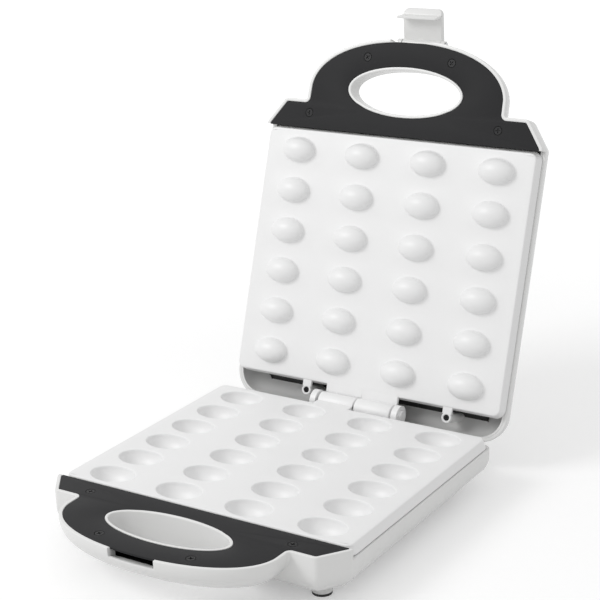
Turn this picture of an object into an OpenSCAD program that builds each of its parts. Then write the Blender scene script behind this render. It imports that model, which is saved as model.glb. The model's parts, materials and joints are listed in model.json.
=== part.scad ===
// Electric nut-shell baker: a hinged press that bakes 24 half-nut pastry shells at a time.
// Every sub-part is drawn with the lid shut, in a frame whose zero is the middle of the nut
// grid on the lower plate's top face. Base parts are then set down on the table, and lid and
// latch parts are first swung open about their own hinge axes.

/* [Baking plates] */
// Columns of nuts, left to right
nut_cols = 4; // [2:1:4]
// Rows of nuts, front to back
nut_rows = 6; // [2:1:6]
// Distance from one column to the next
col_pitch = 60; // [54:0.5:62]
// Distance from one row to the next
row_pitch = 33.7; // [32.5:0.1:34.5]
// Length of a nut cavity at its mouth, across the machine
nut_l = 36; // [30:0.5:38]
// Width of a nut cavity at its mouth
nut_w = 26; // [22:0.5:27]
// Pastry wall that is left between a cavity and its dome
dough_gap = 3; // [2:0.1:4]
// Width of a plate, left to right
plate_w = 242.4; // [240:0.1:243]
// Front edge of the plates, ahead of the grid centre
plate_front = 101; // [100:0.1:101.5]
// Back edge of the plates, behind the grid centre
plate_back = 103.2; // [102:0.1:104]
// Corner radius of the plates
plate_r = 6; // [3:0.5:8]
// Thickness of the cast plates
plate_t = 3; // [2:0.1:3.5]
// Depth of the skirt that hangs from a plate's edge
skirt_h = 7.6; // [6:0.1:7.7]
// How far the skirt flares outward on its way
skirt_flare = 2; // [1:0.1:2.2]
// Air gap between the two plates when shut
plate_gap = 0.6; // [0.4:0.1:1]

/* [Casings] */
// Depth of the lower casing below the plate face
base_depth = 31; // [30:0.5:34]
// Depth of the upper casing above the plate face
lid_depth = 31; // [29:0.5:34]
// Depth below the plate face at which the casing's side rim starts
rim_drop = 8; // [7.8:0.1:8.6]
// Back wall of the lower casing, behind the grid centre
base_back = 105; // [104:0.5:106]
// Back wall of the upper casing, behind the grid centre
lid_back = 123.1; // [122:0.5:125]
// Corner radius at the back of the lower casing
base_corner_r = 5; // [3:0.5:10]
// Corner radius at the back of the upper casing
lid_corner_r = 20; // [14:0.5:24]
// Thickness of the moulded casings' floors
wall = 2.4; // [2:0.1:3]
// Thickness of their side walls, which also carry the trims and back the plates' skirts
side_wall = 4.2; // [3.8:0.1:5]
// Width of the white lip that frames the handle trim
lip_w = 2.9; // [2.4:0.1:3.2]
// Height of the table below the lower plate's face
stand_h = 42; // [41:0.5:46]

/* [Handle] */
// Half width of the trim at the plates
trim_half = 121.8; // [120:0.1:122]
// Front of the trim's straight shoulder
shoulder_y = 123.4; // [120:0.2:126]
// Half width of the trim where its corner chamfer ends
chamfer_half = 108.3; // [104:0.1:112]
// Half width of the handle arch
arch_half = 86.5; // [82:0.5:90]
// Where the handle arch starts to curve
arch_y = 134.5; // [130:0.5:138]
// How far the arch bulges forward from there
arch_reach = 43.8; // [38:0.2:46]
// Squareness of the arch: 2 is an ellipse, more is squarer
arch_power = 2.15; // [2:0.05:2.6]
// Depth of the lower handle
grip_depth = 21; // [18:0.5:24]
// Depth of the upper handle
lid_grip_depth = 15.5; // [14:0.5:18]
// Middle of the finger hole, ahead of the grid centre
finger_y = 138.5; // [136:0.5:141]
// Half length of the finger hole in the trim
finger_half_l = 52; // [46:0.5:56]
// Half width of the finger hole in the trim
finger_half_w = 20.5; // [16:0.5:22]
// Thickness of the trim plates
trim_t = 1.6; // [1.4:0.1:2]

/* [Hinge] */
// Hinge axis, behind the grid centre
hinge_y = 117; // [116:0.5:118]
// Hinge axis, below the lower plate's face
hinge_drop = 3.5; // [3:0.1:4]
// How far the lid opens
open_angle = 108.3; // [95:0.1:108.3]
// Radius of the hinge barrel
barrel_r = 8; // [7:0.1:8.2]
// Half length of the hinge barrel
barrel_half = 33; // [26:0.5:34]
// Radius of the hinge pin
hinge_pin_r = 2.5; // [2:0.1:3]

/* [Latch] */
// Width of the latch
latch_w = 34.5; // [24:0.5:34.5]
// Half width of the notches that the latch sits in
notch_half = 18.7; // [18.6:0.1:19]
// Thickness of the latch strip
latch_t = 6; // [4.5:0.1:6.2]
// Strip's inner face, ahead of the latch axis
latch_offset = 0.9; // [0.7:0.1:1.2]
// Latch axis above the lower plate's face
latch_axis_z = 19.6; // [19.4:0.1:22]
// How far the latch hangs swung out from its locked place
latch_rest = 69.3; // [60:0.1:80]
// How far the hook reaches past the strip
hook_reach = 10.4; // [7:0.1:10.4]
// How far the finger tab reaches below the hook
tab_reach = 4.4; // [3:0.1:5]
// Radius of the latch pin
latch_pin_r = 1.5; // [1.2:0.1:1.8]

/* [Feet and fittings] */
// Left and right feet from the middle
foot_x = 96; // [90:0.5:98]
// Front feet, ahead of the grid centre
foot_front = 97; // [90:0.5:100]
// Back feet, behind the grid centre
foot_back = 85; // [75:0.5:88]
// Foot radius where it meets the casing
foot_r = 8.7; // [7:0.1:10]
// Foot radius at its pad
pad_r = 7.3; // [6:0.1:8]
// Thickness of the rubber pads
pad_t = 2; // [1.5:0.1:3]
// Radius of the tubular heating elements
element_r = 3.25; // [3:0.05:3.5]
// Cord gland, left of the middle
gland_x = -72; // [-74:1:-70]
// Cord gland's axis below the lower plate's face
gland_drop = 22; // [21.7:0.1:22.5]
// Radius of the cord gland's bore
gland_bore_r = 3.6; // [3:0.1:4]

/* [Hidden] */

$fn = 48;
eps = 0.01;
hinge_z = -hinge_drop;
dome_l = nut_l - 2 * dough_gap;
dome_w = nut_w - 2 * dough_gap;
cup_wall = 2.5;
grid = [for (i = [0:nut_cols - 1]) for (j = [0:nut_rows - 1])
    [(i - (nut_cols - 1) / 2) * col_pitch, (j - (nut_rows - 1) / 2) * row_pitch]];
screw_spots = [[38, -164.7], [-38, -164.7], [85.7, -115.5], [-85.7, -115.5]];
post_spots = [[0, 85], [0, -85], [104, 0], [-104, 0]];
post_len = 20.9;
foot_spots = [[foot_x, -foot_front], [-foot_x, -foot_front], [foot_x, foot_back], [-foot_x, foot_back]];
tab_x = [-52, 77];
front_tab_x = [-62, 62];
tab_y = 111.3;
front_tab_y = -107.6;
front_tab_drop = 6;
deck_y = -103.4;
trim_sink = 0.3;
trim_pad = 1.2;
trim_front = -arch_y - arch_reach;
latch_axis_y = trim_front - lip_w - 0.4 + latch_offset;
latch_len = latch_axis_z + trim_sink + trim_t + 0.3;
hook_t = 1.8;
slot_floor = -6.2;
pocket_floor = -8.4;
pocket_rim = 2.4;
scoop_top = -16.5;
scoop_back = -166;
lug_r = 3.4;
lug_t = 3.5;
lug_in = latch_w / 2 + 0.5;
mount_screws = [[12, -168], [-12, -168]];
ear_t = 5;
ear_in = barrel_half + 2;
back_wall = base_back + lip_w;
stop_x = 88;
stop_top = -17.7;
element_drop = 19.5;
tray_t = 0.8;
reflector_drop = 24.5;
upper_element_z = -plate_t - element_r - 0.1;
terminal_z = -24;
lens_x = [-20, 20];
lens_y = -95;
board_z = -23;
clear = 0.05;

// The part's zero is on the table, half way between the front of the lower handle and the back of
// the latch strip, which is what reaches furthest back with the lid open.
front_end = trim_front - lip_w;
back_end = hinge_y + (latch_axis_y - hinge_y) * cos(open_angle)
    + (latch_axis_z - hinge_z) * sin(open_angle) + latch_offset + latch_t;
mid_y = (back_end + front_end) / 2;

// ---- places ----

module set_down() { translate([0, -mid_y, stand_h]) children(); }
module swing(axis_y, axis_z, angle) {
    translate([0, axis_y, axis_z]) rotate([-angle, 0, 0]) translate([0, -axis_y, -axis_z]) children();
}
module on_lid() { set_down() swing(hinge_y, hinge_z, open_angle) children(); }
module on_latch() { on_lid() swing(latch_axis_y, latch_axis_z, latch_rest) children(); }
module both_sides() { children(); mirror([1, 0, 0]) children(); }
module flipped() { mirror([0, 0, 1]) children(); }
module lid_up() { on_lid() translate([0, 0, plate_gap]) flipped() children(); }
module rod_x(r, x0, x1, y, z) { translate([x0, y, z]) rotate([0, 90, 0]) cylinder(r = r, h = x1 - x0); }
module rod_y(r, y0, y1, x, z) { translate([x, y0, z]) rotate([-90, 0, 0]) cylinder(r = r, h = y1 - y0); }
module rod_z(r, z0, z1, x, y) { translate([x, y, z0]) cylinder(r = r, h = z1 - z0); }
module block(x0, x1, y0, y1, z0, z1) { translate([x0, y0, z0]) cube([x1 - x0, y1 - y0, z1 - z0]); }

// ---- outlines: each is a ring of points, moved outward by k ----

function unit(v) = v / norm(v);

// Points that round the corner b of an outline a-b-c, once its edges have moved outward by k.
// r is the corner's own radius: a bulging corner grows with k and an inward one shrinks.
function corner(a, b, c, r, k, steps = 5) = let (
    u = unit(b - a),
    v = unit(c - b),
    nu = [u.y, -u.x],
    nv = [v.y, -v.x],
    side = u.x * v.y - u.y * v.x > 0 ? 1 : -1,
    turn = acos(u * v),
    rr = max(r + side * k, 0.6),
    moved = b + (nu + nv) * k / (1 + nu * nv),
    centre = moved - side * rr * (nu + nv) / (1 + nu * nv),
    start = atan2(nu.y, nu.x))
    [for (i = [0:steps]) let (w = start + side * turn * i / steps)
        centre + side * rr * [cos(w), sin(w)]];

// A point of the handle arch at angle w, from its side to its front, moved outward by k
function arch_point(w, k) = let (
    c = max(cos(w), 0),
    s = max(sin(w), 0),
    e = 2 / arch_power,
    normal = unit([pow(c, 2 - e) / arch_half, pow(s, 2 - e) / arch_reach]))
    [arch_half * pow(c, e) + k * normal.x, -arch_y - arch_reach * pow(s, e) - k * normal.y];

function mirrored(points) = [for (i = [len(points) - 1:-1:0]) [-points[i].x, points[i].y]];

// Right half of the handle's outline, from the middle of the arch to the corner by the plates
function handle_side(k, back_y) = let (
    neck = [arch_half, -arch_y],
    inner = [arch_half, -shoulder_y],
    chamfer = [chamfer_half, -shoulder_y],
    shoulder = [trim_half, deck_y - 1])
    concat(
        [for (w = [90:-5:5]) arch_point(w, k)],
        corner(neck, inner, chamfer, 5, k),
        corner(inner, chamfer, shoulder, 2, k),
        corner(chamfer, shoulder, [trim_half, back_y], 2, k));

// Whole outline of the handle and shoulders, closed by a straight line at back_y
function handle_ring(k, back_y) = let (half = handle_side(k, back_y))
    concat(half, [[trim_half + k, back_y], [-trim_half - k, back_y]],
        [for (i = [len(half) - 1:-1:1]) [-half[i].x, half[i].y]]);

// Outline of the arch alone, run back under the shoulders to back_y
function arch_ring(k, back_y) = let (
    half = [for (w = [90:-5:5]) arch_point(w, k)],
    foot = corner([arch_half, -arch_y], [arch_half, -shoulder_y], [chamfer_half, -shoulder_y], 5, k),
    side = concat(half, foot, [[foot[len(foot) - 1].x, back_y]]))
    concat(side, [for (i = [len(side) - 1:-1:1]) [-side[i].x, side[i].y]]);

// Outline of a casing's body: chamfered shoulders in front and round corners at the back
function body_ring(k, back_y, back_r) = let (
    front = [chamfer_half, -shoulder_y],
    side = [trim_half, deck_y - 1],
    back = [trim_half, back_y],
    half = concat(
        corner([-chamfer_half, -shoulder_y], front, side, 2, k),
        corner(front, side, back, 2, k),
        corner(side, back, [-trim_half, back_y], back_r, k, 8)))
    concat(half, mirrored(half));

// A solid through a stack of rings: each level is [ring, z], lowest first
module loft(levels) {
    n = len(levels[0][0]);
    top = len(levels) - 1;
    points = [for (level = levels) for (p = level[0]) [p.x, p.y, level[1]]];
    sides = [for (i = [0:top - 1]) for (j = [0:n - 1]) let (
        a = i * n + j,
        b = i * n + (j + 1) % n)
        each [[a, a + n, b + n], [a, b + n, b]]];
    caps = [[for (j = [0:n - 1]) j], [for (j = [n - 1:-1:0]) top * n + j]];
    polyhedron(points = points, faces = concat(sides, caps));
}

// Angles of a quarter ellipse in the casings' profiles, bottom first
curve = [90, 72, 54, 36, 18, 0];

// Body of a casing: straight from z = 0 down to -straight, then curved in by reach on its way to
// the floor. For its hollow the skin moves in by inset and the floor up by rise.
module casing_body(back_y, back_r, depth, straight, reach, inset = 0, rise = 0) {
    loft(concat(
        [for (w = curve) [
            body_ring(lip_w - inset - reach * (1 - cos(w)), back_y, back_r),
            -straight - (depth - straight - rise) * sin(w)]],
        [[body_ring(lip_w - inset, back_y, back_r), rise > 0 ? 1 : 0]]));
}

// Handle arch of a casing, with the same kind of profile
module casing_arch(depth, reach, inset = 0, rise = 0) {
    straight = 2;
    loft(concat(
        [for (w = curve) [
            arch_ring(lip_w - inset - reach * (1 - cos(w)), deck_y - 6),
            -straight - (depth - straight - rise) * sin(w)]],
        [[arch_ring(lip_w - inset, deck_y - 6), rise > 0 ? 1 : 0]]));
}

module finger_hole(grow, z0, z1) {
    translate([0, -finger_y, z0]) linear_extrude(z1 - z0)
        scale([finger_half_l + grow, finger_half_w + grow]) circle(1, $fn = 64);
}

// A moulded casing, drawn open side up with its plate's face at z = 0: the body with its sides cut
// down to the rim, the handle arch, the hollows, the bulkhead behind the trim and the trim's seat.
module casing(back_y, back_r, depth, straight, reach, grip, grip_reach) {
    seat = trim_sink + trim_t + 0.1;
    difference() {
        union() {
            difference() {
                casing_body(back_y, back_r, depth, straight, reach);
                block(-150, 150, deck_y, 150, -rim_drop, 1);
            }
            casing_arch(grip, grip_reach);
        }
        difference() {
            union() {
                casing_body(back_y, back_r, depth, straight, reach, side_wall, wall);
                casing_arch(grip, grip_reach, side_wall, wall);
            }
            block(-150, 150, deck_y - wall, deck_y, -depth, 1);
            finger_hole(-0.3, -depth, 1);
        }
        difference() {
            translate([0, 0, -seat]) linear_extrude(seat + 1) polygon(handle_ring(0.25, deck_y + 2));
            finger_hole(-0.3, -depth, 1);
        }
        finger_hole(-2.6, -depth - 1, 1);
    }
}

// A hollow screw boss standing on the inside of a casing
module boss(spot, r, hole_r, bottom, top) {
    translate([spot.x, spot.y, bottom]) difference() {
        cylinder(r = r, h = top - bottom, $fn = 24);
        translate([0, 0, 1]) cylinder(r = hole_r, h = top - bottom, $fn = 24);
    }
}

// The bosses under a trim: two in the arch and two in the shoulders
module trim_bosses(arch_floor, shoulder_floor) {
    top = -trim_sink - trim_t - trim_pad - 0.1;
    for (spot = screw_spots)
        boss(spot, 4, 1.5, spot.y < -arch_y ? arch_floor : shoulder_floor, top);
}

module base_casing() {
    color("whitesmoke") set_down() {
        difference() {
            union() {
                casing(base_back, base_corner_r, base_depth, 14, 16, grip_depth, 19);
                intersection() {
                    casing_arch(grip_depth, 19);
                    block(-notch_half - wall, notch_half + wall, -190, scoop_back + wall,
                        -grip_depth - 1, scoop_top + wall);
                }
                gland_seat();
            }
            finger_scoop();
            block(-notch_half, notch_half, -190, -165, slot_floor, 1);
            block(-notch_half, notch_half, front_end + pocket_rim, -165, pocket_floor, 1);
            rod_y(6.2, 90, 112, gland_x, -gland_drop);
            for (spot = post_spots) translate([spot.x, spot.y, -base_depth - 1]) {
                cylinder(r = 3.4, h = wall + 2, $fn = 24);
            }
            for (x = [-54:12:54]) block(x - 1.5, x + 1.5, -60, -20, -base_depth - 1, wall - base_depth + 1);
            for (x = [-54:12:54]) block(x - 1.5, x + 1.5, 20, 60, -base_depth - 1, wall - base_depth + 1);
        }
        for (spot = post_spots) translate([spot.x, spot.y, 0]) difference() {
            translate([0, 0, -base_depth + 0.5]) cylinder(r = 5.6, h = 9.5, $fn = 24);
            translate([0, 0, -base_depth - 1]) cylinder(r = 3.4, h = 7, $fn = 24);
            translate([0, 0, -base_depth]) cylinder(r = 1.8, h = 12, $fn = 24);
        }
        trim_bosses(4 - grip_depth, 3.5 - base_depth);
        both_sides() {
            block(70, 72, -70, 62, wall - base_depth - 0.5, -reflector_drop - clear);
            stop_lug();
        }
    }
}

// Scoop in the handle's lower edge, so that a fingertip gets under the latch
module finger_scoop() {
    translate([0, scoop_back, 0]) rotate([90, 0, 0]) linear_extrude(30) polygon([
        [-notch_half, -grip_depth - 1], [-notch_half, scoop_top - 1.5], [-notch_half + 1.5, scoop_top],
        [notch_half - 4, scoop_top], [notch_half - 1.5, scoop_top - 0.8],
        [notch_half + 2, -grip_depth - 1]]);
}

// Flat-faced seat for the cord gland, where the back wall curves under
module gland_seat() {
    rod_y(8.4, 95, back_wall, gland_x, -gland_drop);
    block(gland_x - 8.4, gland_x + 8.4, 100, back_wall, -gland_drop, -13);
}

// Lug at the back of the lower casing, which the open lid leans on
module stop_lug() {
    translate([stop_x - 5, 0, 0]) rotate([90, 0, 90]) linear_extrude(10) polygon([
        [back_wall - 2, stop_top], [back_wall + 29, stop_top], [back_wall + 29, stop_top - 4],
        [back_wall - 2, stop_top - 10.3], [back_wall - 6, stop_top - 8]]);
}

// Plate face and skirt: the edge's profile is run straight along the sides and turned at the
// corners, round a plain middle
module plate_blank() {
    half = plate_w / 2 - plate_r;
    profile = [
        [0, 0], [plate_r - 1.2, 0], [plate_r - 0.35, -0.35], [plate_r, -1.2],
        [plate_r + skirt_flare, -skirt_h], [plate_r + skirt_flare - 2, -skirt_h],
        [plate_r - 2.4, -plate_t], [0, -plate_t]];
    back = plate_back - plate_r;
    front = -plate_front + plate_r;
    block(-half, half, front, back, -plate_t, 0);
    for (corner_spot = [[half, back, 0], [-half, back, 90], [-half, front, 180], [half, front, 270]])
        translate([corner_spot.x, corner_spot.y, 0]) rotate([0, 0, corner_spot[2]])
            rotate_extrude(angle = 90) polygon(profile);
    for (side = [[half, front, back - front, 0], [half, back, 2 * half, 90],
        [-half, back, back - front, 180], [-half, front, 2 * half, 270]])
        translate([side.x, side.y, 0]) rotate([0, 0, side[3]]) rotate([90, 0, 0])
            mirror([0, 0, 1]) linear_extrude(side[2]) polygon(profile);
}

// The nut shape: an egg of a given length and width, lying along x
module egg(length, width) {
    scale([length / width, 1, 1]) sphere(width / 2);
}

module cavities() {
    for (spot = grid) translate([spot.x, spot.y, 0]) egg(nut_l, nut_w);
}

module lower_baking_plate() {
    color("white") set_down() difference() {
        union() {
            plate_blank();
            difference() {
                for (spot = grid) translate([spot.x, spot.y, 0])
                    egg(nut_l + 2 * cup_wall, nut_w + 2 * cup_wall);
                block(-150, 150, -150, 150, -1, 50);
            }
            for (spot = post_spots) rod_z(4, -post_len, -1, spot.x, spot.y);
            rod_x(barrel_r, -barrel_half, -0.5, hinge_y, hinge_z);
            block(-barrel_half, -0.5, plate_back - 3, hinge_y, -plate_t, 0);
        }
        cavities();
        for (spot = post_spots) translate([spot.x, spot.y, -post_len - 1]) cylinder(r = 1.5, h = 12);
        rod_x(hinge_pin_r + clear, -barrel_half - 1, 1, hinge_y, hinge_z);
    }
}

// Handle trim: a flat plate with the finger hole and four countersunk screw seats
module handle_trim() {
    top = -trim_sink;
    difference() {
        union() {
            translate([0, 0, top - trim_t]) linear_extrude(trim_t) polygon(handle_ring(0, deck_y));
            for (spot = screw_spots) translate([spot.x, spot.y, top - trim_t - trim_pad])
                cylinder(r = 4.4, h = trim_pad + 0.5);
        }
        finger_hole(0, -10, 1);
        for (spot = screw_spots) translate([spot.x, spot.y, 0]) {
            translate([0, 0, top - trim_t]) cylinder(r = 3.4, h = 4);
            translate([0, 0, -10]) cylinder(r = 1.7, h = 12);
        }
    }
}

// A pan-head screw with a cross recess, head down to z = 0 and shank below it
module screw(head_r, head_h, shank_r, shank_len) {
    difference() {
        cylinder(r = head_r, h = head_h);
        for (turn = [0, 90]) rotate([0, 0, turn])
            block(-head_r * 0.62, head_r * 0.62, -0.4, 0.4, head_h - 0.8, head_h + 1);
    }
    translate([0, 0, -shank_len]) cylinder(r = shank_r, h = shank_len + eps);
}

module trim_screws() {
    for (spot = screw_spots) translate([spot.x, spot.y, -trim_sink - trim_t + eps])
        rotate([0, 0, spot.x]) screw(3.1, 1.4, 1.4, 9);
}

module lower_handle_trim() { color("#3a3a3c") set_down() handle_trim(); }
module lower_trim_screws() { color("#2c2c2e") set_down() trim_screws(); }

module lower_plate_screws() {
    color("silver") set_down() for (spot = post_spots) translate([spot.x, spot.y, 6 - base_depth - clear])
        flipped() screw(3, 1.8, 1.4, 12);
}

// Tubular heating element: a U with its cold ends at the back, at height z
module heating_element(z) {
    bend = 30;
    front = -72;
    color("dimgray") {
        both_sides() {
            rod_y(element_r, front + bend, 88, 60, z);
            rod_y(element_r - 1.6, 88, 94, 60, z);
            translate([bend, front + bend, z]) rotate([0, 0, -90])
                rotate_extrude(angle = 90) translate([bend, 0]) circle(element_r);
        }
        rod_x(element_r, -bend, bend, front, z);
    }
}

// U-shaped saddle clamps that stand on z = 0 and hold an element whose axis is at height h
module element_clamps(h) {
    grip_r = element_r + clear;
    for (x = [-60, 60]) for (y = [-30, 50]) translate([x, y, 0]) difference() {
        union() {
            rod_y(grip_r + 1.1, -4, 4, 0, h);
            block(-grip_r - 1.1, grip_r + 1.1, -4, 4, 0, h);
            block(-10, 10, -4, 4, 0, 1.2);
        }
        rod_y(grip_r, -5, 5, 0, h);
        block(-grip_r, grip_r, -5, 5, -6, h);
        block(-10, 10, -5, 5, -6, 0);
    }
}

// Folded sheet tray, from its floor up to its rims
module tray(half_x, front, back, floor_z, rim_z) {
    t = tray_t;
    difference() {
        block(-half_x, half_x, front, back, floor_z, rim_z);
        block(t - half_x, half_x - t, front + t, back - t, floor_z + t, rim_z + 1);
    }
}

module lower_heating_element() { set_down() heating_element(-element_drop); }
module lower_element_clamps() {
    foot = tray_t - reflector_drop + eps;
    color("gainsboro") set_down() translate([0, 0, foot]) element_clamps(-element_drop - foot);
}
module lower_reflector() {
    color("lightgray") set_down() tray(96, -78, 70, -reflector_drop, 1.6 - reflector_drop);
}

module thermostat() {
    color("tan") set_down() translate([0, 30, -plate_t - 8]) {
        cylinder(r = 8, h = 8);
        block(-2.5, 2.5, -14, 14, 1.5, 2.3);
    }
}
module thermal_fuse() {
    color("ivory") set_down() {
        rod_y(2.2, -40, -24, 0, -plate_t - 2.25);
        rod_y(0.6, -50, -14, 0, -plate_t - 2.25);
    }
}
module terminal_block() {
    color("beige") set_down() difference() {
        block(-46, -16, 72, 86, wall - base_depth + clear, terminal_z + 5.4);
        for (x = [-41, -31, -21]) {
            rod_z(2.4, terminal_z + 2.4, terminal_z + 6, x, 79);
            rod_y(1.6, 70, 88, x, terminal_z);
        }
    }
}
module lower_wiring() {
    r = 1.2;
    color("firebrick") set_down() {
        for (lead = [[-73.5, -41, 88.5], [-70.5, -31, 92]]) {
            rod_y(r, lead[2], back_wall - 2.5, lead[0], -gland_drop);
            rod_z(r, terminal_z, -gland_drop, lead[0], lead[2]);
            rod_x(r, lead[0], lead[1], lead[2], terminal_z);
            rod_y(r, 82, lead[2], lead[1], terminal_z);
        }
        rod_y(r, 94.1, 96, 60, -element_drop);
        rod_z(r, terminal_z, -element_drop, 60, 96);
        rod_x(r, -21, 60, 96, terminal_z);
        rod_y(r, 82, 96, -21, terminal_z);
        rod_y(r, 94.1, 96, -60, -element_drop);
        rod_x(r, -60, -8, 96, -element_drop);
        rod_y(r, 20, 96, -8, -element_drop);
    }
}

// Cord gland: a moulded bush through the back wall, with a ribbed nose outside it
module cord_gland() {
    wall_y = back_wall + 0.15;
    color("black") set_down() difference() {
        union() {
            rod_y(6, wall_y - 5, wall_y + 1, gland_x, -gland_drop);
            rod_y(8, wall_y, wall_y + 2, gland_x, -gland_drop);
            translate([gland_x, wall_y + 2, -gland_drop]) rotate([-90, 0, 0])
                cylinder(r1 = 6.4, r2 = 5.4, h = 11);
        }
        rod_y(gland_bore_r, wall_y - 6, wall_y + 14, gland_x, -gland_drop);
        rod_y(gland_bore_r + 0.6, wall_y - 6, wall_y + 1.5, gland_x, -gland_drop);
        for (y = [4.5, 7.5, 10.5]) difference() {
            rod_y(9, wall_y + y, wall_y + y + 1, gland_x, -gland_drop);
            rod_y(4.8, wall_y + y - 1, wall_y + y + 2, gland_x, -gland_drop);
        }
    }
}

// Hinge bracket: a strip screwed to the back wall, with an ear at each end of the barrel
module hinge_bracket() {
    wall_y = back_wall + 0.1;
    ear_r = barrel_r + 0.5;
    color("white") set_down() difference() {
        union() {
            block(-ear_in - ear_t, ear_in + ear_t, wall_y, wall_y + 2, -19, -10.5);
            both_sides() {
                rod_x(ear_r, ear_in, ear_in + ear_t, hinge_y, hinge_z);
                block(ear_in, ear_in + ear_t, wall_y, hinge_y, hinge_z - ear_r, hinge_z);
            }
        }
        rod_x(hinge_pin_r + 0.02, -50, 50, hinge_y, hinge_z);
        for (x = [-22, 22]) rod_y(1.7, wall_y - 1, wall_y + 4, x, -15.5);
    }
}
module hinge_bracket_screws() {
    color("silver") set_down() for (x = [-22, 22]) translate([x, back_wall + 2.1, -15.5])
        rotate([-90, 0, 0]) screw(2.8, 1.4, 1.5, 2);
}
module hinge_pin() {
    end = ear_in + ear_t;
    color("silver") set_down() {
        rod_x(hinge_pin_r, -end - 1.4, end + 0.1, hinge_y, hinge_z);
        rod_x(4.5, end + 0.05, end + 2, hinge_y, hinge_z);
    }
}
module hinge_pin_clip() {
    end = ear_in + ear_t;
    color("gray") set_down() difference() {
        rod_x(4.6, -end - 0.9, -end - 0.1, hinge_y, hinge_z);
        rod_x(hinge_pin_r + 0.02, -end - 2, -end + 1, hinge_y, hinge_z);
    }
}

module feet() {
    color("whitesmoke") set_down() for (spot = foot_spots) translate([spot.x, spot.y, pad_t - stand_h])
        cylinder(r1 = pad_r, r2 = foot_r, h = stand_h - base_depth - pad_t);
}
module foot_pads() {
    color("black") set_down() for (spot = foot_spots) translate([spot.x, spot.y, -stand_h])
        cylinder(r = pad_r - 0.2, h = pad_t);
}

// ---- lid: drawn open side up like the base, then turned over ----

module lid_casing() {
    depth = lid_depth - plate_gap;
    grip = lid_grip_depth - plate_gap;
    color("whitesmoke") lid_up() {
        difference() {
            casing(lid_back, lid_corner_r, depth, rim_drop + 1, 18, grip, 5);
            block(-notch_half, notch_half, -190, trim_front - 0.1, -grip, 1);
            for (x = lens_x) rod_z(4.1, -depth - 1, 3 - depth, x, lens_y);
            for (x = front_tab_x)
                block(x - 5.4, x + 5.4, deck_y - wall - 1, deck_y + 1, -front_tab_drop - 0.4, 1);
            for (spot = mount_screws) rod_z(1.5, -grip - 1, 3 - grip, spot.x, spot.y);
        }
        block(-112, 112, plate_back, plate_back + 1.8, 1 - depth, -skirt_h - 0.3);
        trim_bosses(2 - grip, 5.2 - depth);
        for (x = tab_x) boss([x, tab_y], 4, 1.2, 2.4 - depth, -plate_t - 0.1);
        for (x = front_tab_x) boss([x, front_tab_y - 3], 4, 1.2, 3.4 - depth, -front_tab_drop - 0.1);
        for (x = [-28, 28]) boss([x, lens_y], 2.5, 0.8, 2 - depth, board_z - 0.1);
    }
}

module upper_baking_plate() {
    color("white") lid_up() difference() {
        union() {
            plate_blank();
            for (spot = grid) translate([spot.x, spot.y, 0]) difference() {
                egg(dome_l, dome_w);
                block(-40, 40, -40, 40, -40, -1);
            }
            for (x = tab_x) {
                rod_z(4.2, -plate_t, -0.4, x, tab_y);
                block(x - 4.2, x + 4.2, plate_back - 2, tab_y, -plate_t, -0.4);
            }
            for (x = front_tab_x) block(x - 5, x + 5, front_tab_y - 7, -plate_front + 1,
                -front_tab_drop, 2 - front_tab_drop);
            rod_x(barrel_r, 0.5, barrel_half, hinge_y, plate_gap - hinge_z);
            block(0.5, barrel_half, plate_back - 2, hinge_y, -plate_t, 0);
            block(-barrel_half, 0.6, plate_back - 2, hinge_y - barrel_r + 0.4, -plate_t, 0);
        }
        for (spot = grid) translate([spot.x, spot.y, 0])
            egg(dome_l - 2 * cup_wall, dome_w - 2 * cup_wall);
        for (x = tab_x) {
            rod_z(2.5, -2, 1, x, tab_y);
            rod_z(1.6, -10, 1, x, tab_y);
        }
        for (x = front_tab_x) rod_z(1.6, -10, 1, x, front_tab_y - 3);
        rod_x(hinge_pin_r + clear, -1, barrel_half + 1, hinge_y, plate_gap - hinge_z);
    }
}

module upper_handle_trim() { color("#2b2b2d") lid_up() handle_trim(); }
module upper_trim_screws() { color("#2c2c2e") lid_up() trim_screws(); }

module upper_plate_screws() {
    color("silver") lid_up() {
        for (x = tab_x) translate([x, tab_y, eps - 2]) screw(2.3, 1.2, 1.1, 8);
        for (x = front_tab_x) translate([x, front_tab_y - 3, 2 - front_tab_drop + eps])
            screw(2.6, 1.4, 1.1, 8);
    }
}

module upper_heating_element() { lid_up() heating_element(upper_element_z); }
module upper_element_clamps() {
    foot = -plate_t - clear;
    color("gainsboro") lid_up() translate([0, 0, foot]) flipped() element_clamps(foot - upper_element_z);
}
module upper_reflector() {
    color("lightgray") lid_up() tray(96, -78, 80, -13.2, upper_element_z - element_r - 0.4);
}

module lamp_board() {
    color("seagreen") lid_up() difference() {
        union() {
            block(-33, 33, lens_y - 6, lens_y + 6, board_z, board_z + 1.2);
            for (x = lens_x) rod_z(2.4, board_z - 3, board_z, x, lens_y);
        }
        for (x = [-28, 28]) rod_z(1.3, board_z - 1, board_z + 2, x, lens_y);
    }
}

// Lamp lens: a shallow domed button, with its flange on the inside of the casing
module lens(x) {
    top = plate_gap - lid_depth;
    lid_up() {
        rod_z(4, top - 0.6, top + 3, x, lens_y);
        rod_z(5.4, top + wall + clear, top + 3.6, x, lens_y);
        translate([x, lens_y, top - 0.6]) flipped() cylinder(r1 = 4, r2 = 2.6, h = 0.8);
    }
}
module power_lens() { color("red") lens(lens_x[0]); }
module ready_lens() { color("green") lens(lens_x[1]); }

module upper_wiring() {
    r = 1.2;
    color("firebrick") lid_up() both_sides() {
        rod_y(r, 94.1, 100, 60, upper_element_z);
        rod_x(r, 8, 60, 100, upper_element_z);
        rod_z(r, -18, upper_element_z, 8, 100);
        rod_y(r, lens_y + 4, 100, 8, -18);
        rod_z(r, board_z + 1.25, -18, 8, lens_y + 4);
    }
}

// ---- latch ----

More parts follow.
